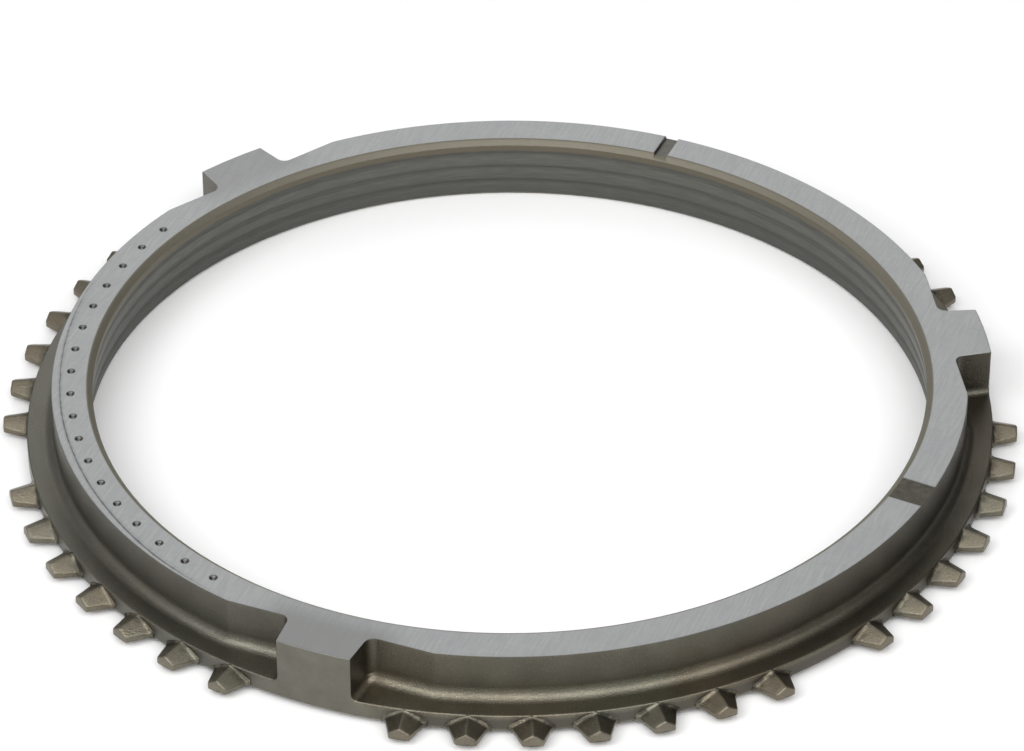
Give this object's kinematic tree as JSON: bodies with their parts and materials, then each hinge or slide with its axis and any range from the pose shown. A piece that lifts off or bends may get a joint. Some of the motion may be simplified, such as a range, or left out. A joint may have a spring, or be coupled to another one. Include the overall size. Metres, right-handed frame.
{
  "type": "synchronizer ring",
  "caption": "Flat steel ring with driving lugs and short outward clutch teeth on its rim and a grooved friction cone inside, for a gearbox synchronizer.",
  "frame": {"origin": "on the ring's axis, in the plane of its lower face", "axes": "+Z along the ring's axis towards the ground face with the lugs' ends, +X through the middle of one lug"},
  "size_m": [0.1791, 0.1808, 0.013],
  "materials": {
    "steel": "ground top face, forged and shot-blasted sides, dark friction cone"
  },
  "bodies": {
    "root": {"ring": "steel"}
  },
  "joints": []
}
